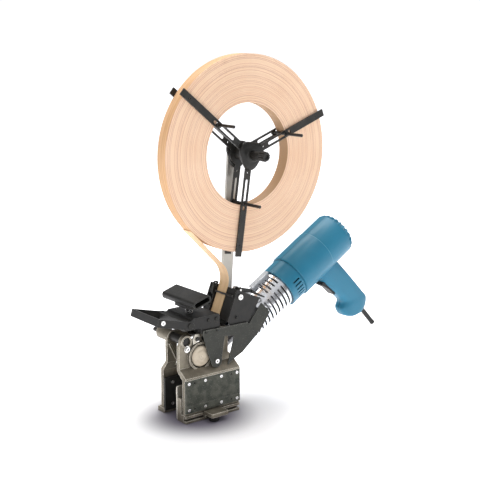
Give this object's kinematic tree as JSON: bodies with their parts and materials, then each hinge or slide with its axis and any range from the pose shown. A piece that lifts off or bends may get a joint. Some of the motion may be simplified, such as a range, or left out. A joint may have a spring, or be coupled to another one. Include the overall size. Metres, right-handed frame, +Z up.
{
  "type": "edge banding machine",
  "caption": "Hand-held edge banding machine: fences ride a panel, a heat gun softens the tape from a reel on a post, a roller presses it and a palm cutter trims it.",
  "frame": {"origin": "on the underside of the front foot, midway along it", "axes": "+X is the feed direction, towards the heat gun; +Y runs from the front fence to the rear fence; +Z is up"},
  "size_m": [0.4712, 0.1225, 0.5398],
  "materials": {
    "cast_aluminium": "bare cast",
    "fence_steel": "ground",
    "pad_plastic": "mottled, matt",
    "slate_paint": "satin",
    "black_paint": "satin",
    "black_plastic": "matt",
    "black_steel": "blackened",
    "bright_screws": "bright",
    "nickel_sheet": "bright nickel",
    "fin_grey": "satin",
    "blue_plastic": "satin",
    "cream_plastic": "satin",
    "roller_rubber": "matt",
    "edging": "raw veneer",
    "motor_steel": "plain",
    "fan_plastic": "plain",
    "mica": "plain"
  },
  "bodies": {
    "frame": {"front_casting": "cast_aluminium", "outer_pad": "pad_plastic", "pad_screws": "bright_screws", "front_foot": "cast_aluminium", "inner_fence": "fence_steel", "guide_shafts": "black_steel", "roller_axle": "bright_screws", "roller_cap": "cream_plastic", "side_plate_front": "slate_paint", "side_plate_rear": "slate_paint", "cutter_block": "black_paint", "link_plate": "fence_steel", "tape_bed": "black_paint", "guide_cheeks": "black_paint", "guide_rod": "bright_screws", "rod_clip": "black_plastic", "latch_base": "black_paint", "latch_pin": "bright_screws", "heat_shield": "nickel_sheet", "shield_fin": "fin_grey", "shield_clamps": "black_paint", "nozzle": "nickel_sheet", "heating_element": "mica", "gun_collar": "blue_plastic", "gun_shell_front": "blue_plastic", "gun_shell_rear": "blue_plastic", "vent_cap": "blue_plastic", "motor": "motor_steel", "cord_sleeve": "roller_rubber", "post": "fin_grey", "reel_axle": "black_steel", "spacers": "black_paint", "chassis_screws": "bright_screws", "tape_strip": "edging"},
    "depth_stop": {"stop_block": "black_paint"},
    "stop_knob": {"stop_knob": "black_plastic"},
    "rear_fence": {"rear_casting": "cast_aluminium", "rear_foot": "cast_aluminium", "rear_pad": "pad_plastic", "rear_pad_screws": "bright_screws"},
    "pressing_roller": {"pressing_roller": "roller_rubber"},
    "cutter": {"palm_grip": "black_plastic", "pedestal": "black_paint", "blade_carrier": "fence_steel", "cutter_blade": "fence_steel", "return_spring": "fence_steel"},
    "bail": {"bail_arms": "black_paint", "bail_bar": "black_paint", "bail_fasteners": "bright_screws"},
    "latch": {"latch_lever": "black_paint", "latch_loop": "bright_screws"},
    "rotor": {"rotor": "fan_plastic"},
    "rocker": {"rocker_switch": "black_plastic"},
    "reel": {"reel_hubs": "black_plastic", "reel_arms": "black_steel", "tape_roll": "edging"},
    "tape_pin_a": {"tape_pin_a": "black_steel"},
    "tape_pin_b": {"tape_pin_b": "black_steel"},
    "tape_pin_c": {"tape_pin_c": "black_steel"},
    "hub_knob": {"hub_knob": "black_plastic"}
  },
  "joints": [
    {"name": "reel_spin", "type": "hinge", "parent": "frame", "child": "reel", "pos_m": [0.0905, 0.028, 0.3898], "axis": [0, 1, 0], "continuous": true},
    {"name": "tape_pin_a_slide", "type": "slide", "parent": "reel", "child": "tape_pin_a", "axis": [0.9336, 0, 0.3584], "range_m": [-0.034, 0]},
    {"name": "tape_pin_b_slide", "type": "slide", "parent": "reel", "child": "tape_pin_b", "axis": [-0.7771, 0, 0.6293], "range_m": [-0.034, 0]},
    {"name": "tape_pin_c_slide", "type": "slide", "parent": "reel", "child": "tape_pin_c", "axis": [-0.1392, 0, -0.9903], "range_m": [-0.034, 0]},
    {"name": "hub_knob_turn", "type": "hinge", "parent": "frame", "child": "hub_knob", "pos_m": [0.0905, -0.01, 0.3898], "axis": [0, 1, 0], "continuous": true},
    {"name": "rear_fence_slide", "type": "slide", "parent": "frame", "child": "rear_fence", "axis": [0, 1, 0], "range_m": [-0.02, 0.014]},
    {"name": "cutter_press", "type": "slide", "parent": "frame", "child": "cutter", "axis": [0, 0, 1], "range_m": [-0.008, 0], "stiffness_N_per_m": 2000, "springref_m": 0.004, "deforming": ["return_spring"]},
    {"name": "bail_pivot", "type": "hinge", "parent": "frame", "child": "bail", "pos_m": [-0.038, 0.028, 0.149], "axis": [0, 1, 0], "range_deg": [0, 55]},
    {"name": "roller_spin", "type": "hinge", "parent": "frame", "child": "pressing_roller", "pos_m": [-0.013, 0.0235, 0.096], "axis": [0, 1, 0], "continuous": true},
    {"name": "rocker_tilt", "type": "hinge", "parent": "frame", "child": "rocker", "pos_m": [0.26307, 0.028, 0.15309], "axis": [0, 1, 0], "range_deg": [0, 14]},
    {"name": "depth_stop_slide", "type": "slide", "parent": "frame", "child": "depth_stop", "axis": [1, 0, 0], "range_m": [-0.02, 0.02]},
    {"name": "stop_knob_turn", "type": "hinge", "parent": "depth_stop", "child": "stop_knob", "pos_m": [-0.007, -0.025, 0.004], "axis": [0, 0, 1], "continuous": true},
    {"name": "fan_spin", "type": "hinge", "parent": "frame", "child": "rotor", "pos_m": [0.159, 0.028, 0.168], "axis": [0.848, 0, 0.5299], "continuous": true},
    {"name": "latch_pivot", "type": "hinge", "parent": "frame", "child": "latch", "pos_m": [0.06, 0, 0.1865], "axis": [0, -1, 0], "range_deg": [0, 60]}
  ]
}
